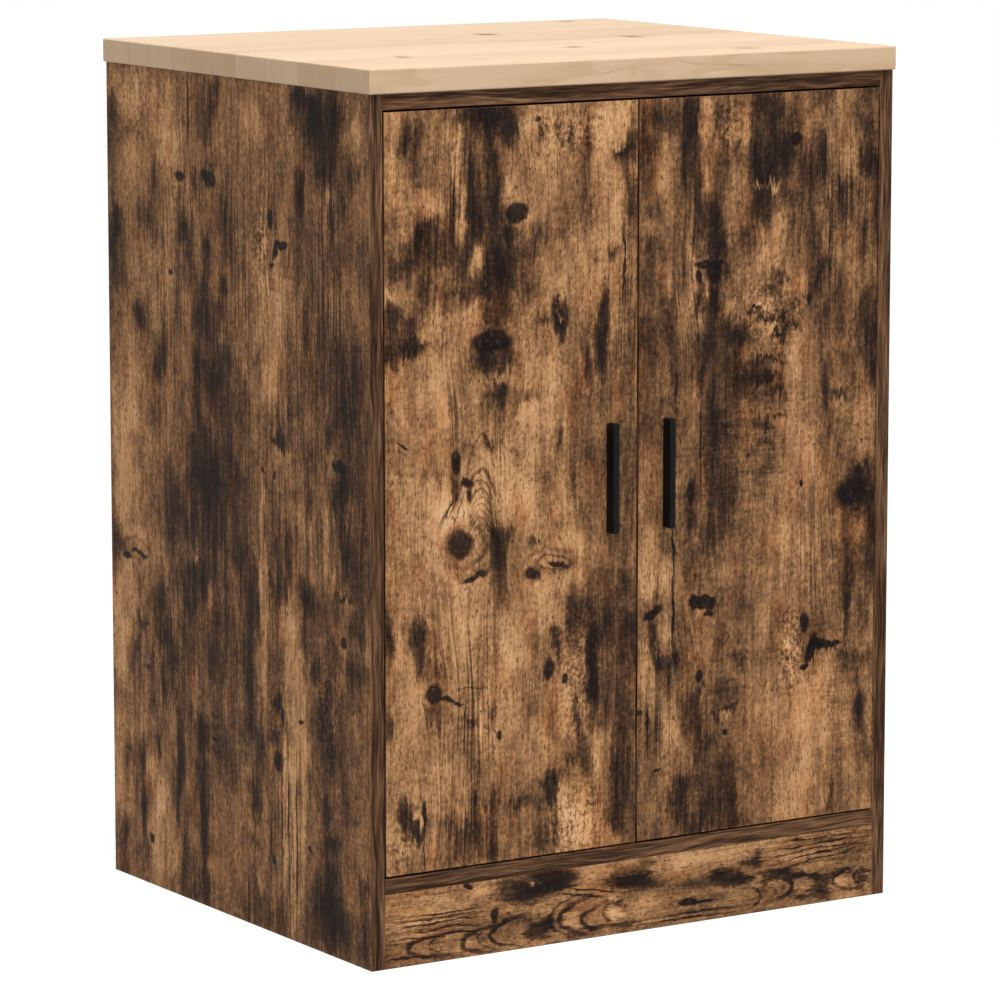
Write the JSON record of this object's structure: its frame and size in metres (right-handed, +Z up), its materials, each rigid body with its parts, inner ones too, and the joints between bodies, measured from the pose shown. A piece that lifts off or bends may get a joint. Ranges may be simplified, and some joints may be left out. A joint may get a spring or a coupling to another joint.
{
  "type": "storage cabinet",
  "caption": "Free-standing garage storage cabinet with hinged inset doors, black bar handles, inner shelves on pins, a plinth and a solid pine worktop.",
  "frame": {"origin": "on the floor, under the middle of the cabinet's bounding box", "axes": "+Z up, -Y the way the doors face, +X to the right for someone facing the doors"},
  "size_m": [0.6, 0.524, 0.847],
  "materials": {
    "smoked_oak_board": "satin rustic dark oak melamine with burnt patches and knots",
    "pine_worktop": "bare pale edge-glued pine, matt",
    "hardboard_back": "thin hardboard, smooth",
    "black_handle": "black powder coat, matt",
    "beech_dowel": "ribbed beech, bare",
    "zinc_fitting": "die-cast and plated, dull",
    "steel_pin": "nickel plated",
    "steel_screw": "zinc plated",
    "hinge_steel": "nickel-plated pressed steel"
  },
  "bodies": {
    "carcass": {"left_side_panel": "smoked_oak_board", "right_side_panel": "smoked_oak_board", "top_panel": "smoked_oak_board", "bottom_panel": "smoked_oak_board", "plinth_board": "smoked_oak_board", "lower_shelf": "smoked_oak_board", "upper_shelf": "smoked_oak_board", "worktop": "pine_worktop", "back_panel": "hardboard_back", "wood_dowels": "beech_dowel", "cam_bolts": "zinc_fitting", "cam_locks": "zinc_fitting", "lower_shelf_pins": "steel_pin", "upper_shelf_pins": "steel_pin", "worktop_screws": "steel_screw", "left_plate_screws": "steel_screw", "left_arm_screws": "steel_screw", "right_plate_screws": "steel_screw", "right_arm_screws": "steel_screw", "left_lower_hinge_arm": "hinge_steel", "left_lower_hinge_plate": "hinge_steel", "left_upper_hinge_arm": "hinge_steel", "left_upper_hinge_plate": "hinge_steel", "right_lower_hinge_arm": "hinge_steel", "right_lower_hinge_plate": "hinge_steel", "right_upper_hinge_arm": "hinge_steel", "right_upper_hinge_plate": "hinge_steel"},
    "left_door": {"left_door": "smoked_oak_board", "left_handle": "black_handle", "left_handle_screws": "steel_screw", "left_cup_screws": "steel_screw", "left_lower_hinge_cup": "hinge_steel", "left_lower_hinge_pivot": "hinge_steel", "left_upper_hinge_cup": "hinge_steel", "left_upper_hinge_pivot": "hinge_steel"},
    "right_door": {"right_door": "smoked_oak_board", "right_handle": "black_handle", "right_handle_screws": "steel_screw", "right_cup_screws": "steel_screw", "right_lower_hinge_cup": "hinge_steel", "right_lower_hinge_pivot": "hinge_steel", "right_upper_hinge_cup": "hinge_steel", "right_upper_hinge_pivot": "hinge_steel"}
  },
  "joints": [
    {"name": "left_door_swing", "type": "hinge", "parent": "carcass", "child": "left_door", "pos_m": [-0.2665, -0.243, 0.448], "axis": [0, 0, -1], "range_deg": [0, 95]},
    {"name": "right_door_swing", "type": "hinge", "parent": "carcass", "child": "right_door", "pos_m": [0.2665, -0.243, 0.448], "axis": [0, 0, 1], "range_deg": [0, 95]}
  ]
}
